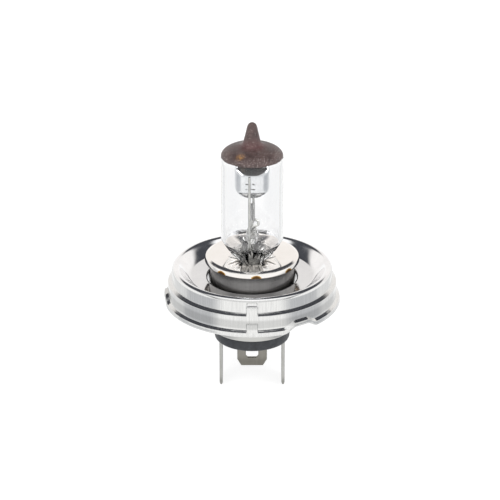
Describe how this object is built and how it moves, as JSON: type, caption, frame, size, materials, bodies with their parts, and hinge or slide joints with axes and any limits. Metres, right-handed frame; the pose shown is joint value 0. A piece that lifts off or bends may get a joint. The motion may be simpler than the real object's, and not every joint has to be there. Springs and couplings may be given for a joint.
{
  "type": "headlight bulb",
  "caption": "Twin-filament halogen headlight bulb: clear quartz tube with a brown painted tip, bright disc, stepped pressed steel collar and flat contact blades.",
  "frame": {"origin": "on the lamp axis, in the plane of the blade tips, at the bottom centre of the whole bulb", "axes": "+Z along the lamp axis from the blades to the exhaust tip; the rear blade is on +Y, and the shield rod is on -Y"},
  "size_m": [0.045, 0.045, 0.071],
  "materials": {
    "quartz": "clear fused quartz",
    "brown_paint": "matt baked light-stopping paint with fine specks",
    "bright_sheet": "bright rolled sheet",
    "tungsten": "drawn tungsten wire",
    "wire": "drawn molybdenum wire",
    "foil": "etched foil",
    "contact": "tin plated strip",
    "black_plastic": "moulded black plastic",
    "satin_steel": "satin drawn steel",
    "warm_nickel": "bright warm nickel plate",
    "pressed_steel": "bright pressed steel, brushed on the outer walls"
  },
  "bodies": {
    "root": {"glass_envelope": "quartz", "quartz_bridge": "quartz", "dome_coating": "brown_paint", "dip_shield": "bright_sheet", "retainer_crown": "bright_sheet", "low_beam_filament": "tungsten", "high_beam_filament": "tungsten", "shield_rod": "wire", "high_beam_wire": "wire", "low_beam_wire": "wire", "foil_front": "foil", "foil_middle": "foil", "foil_rear": "foil", "outer_lead_front": "wire", "outer_lead_middle": "wire", "outer_lead_rear": "wire", "blade_left": "contact", "blade_right": "contact", "blade_rear": "contact", "insulator_base": "black_plastic", "can_shell": "satin_steel", "cap_disc": "warm_nickel", "pinch_holder": "satin_steel", "prefocus_collar": "pressed_steel"}
  },
  "joints": []
}
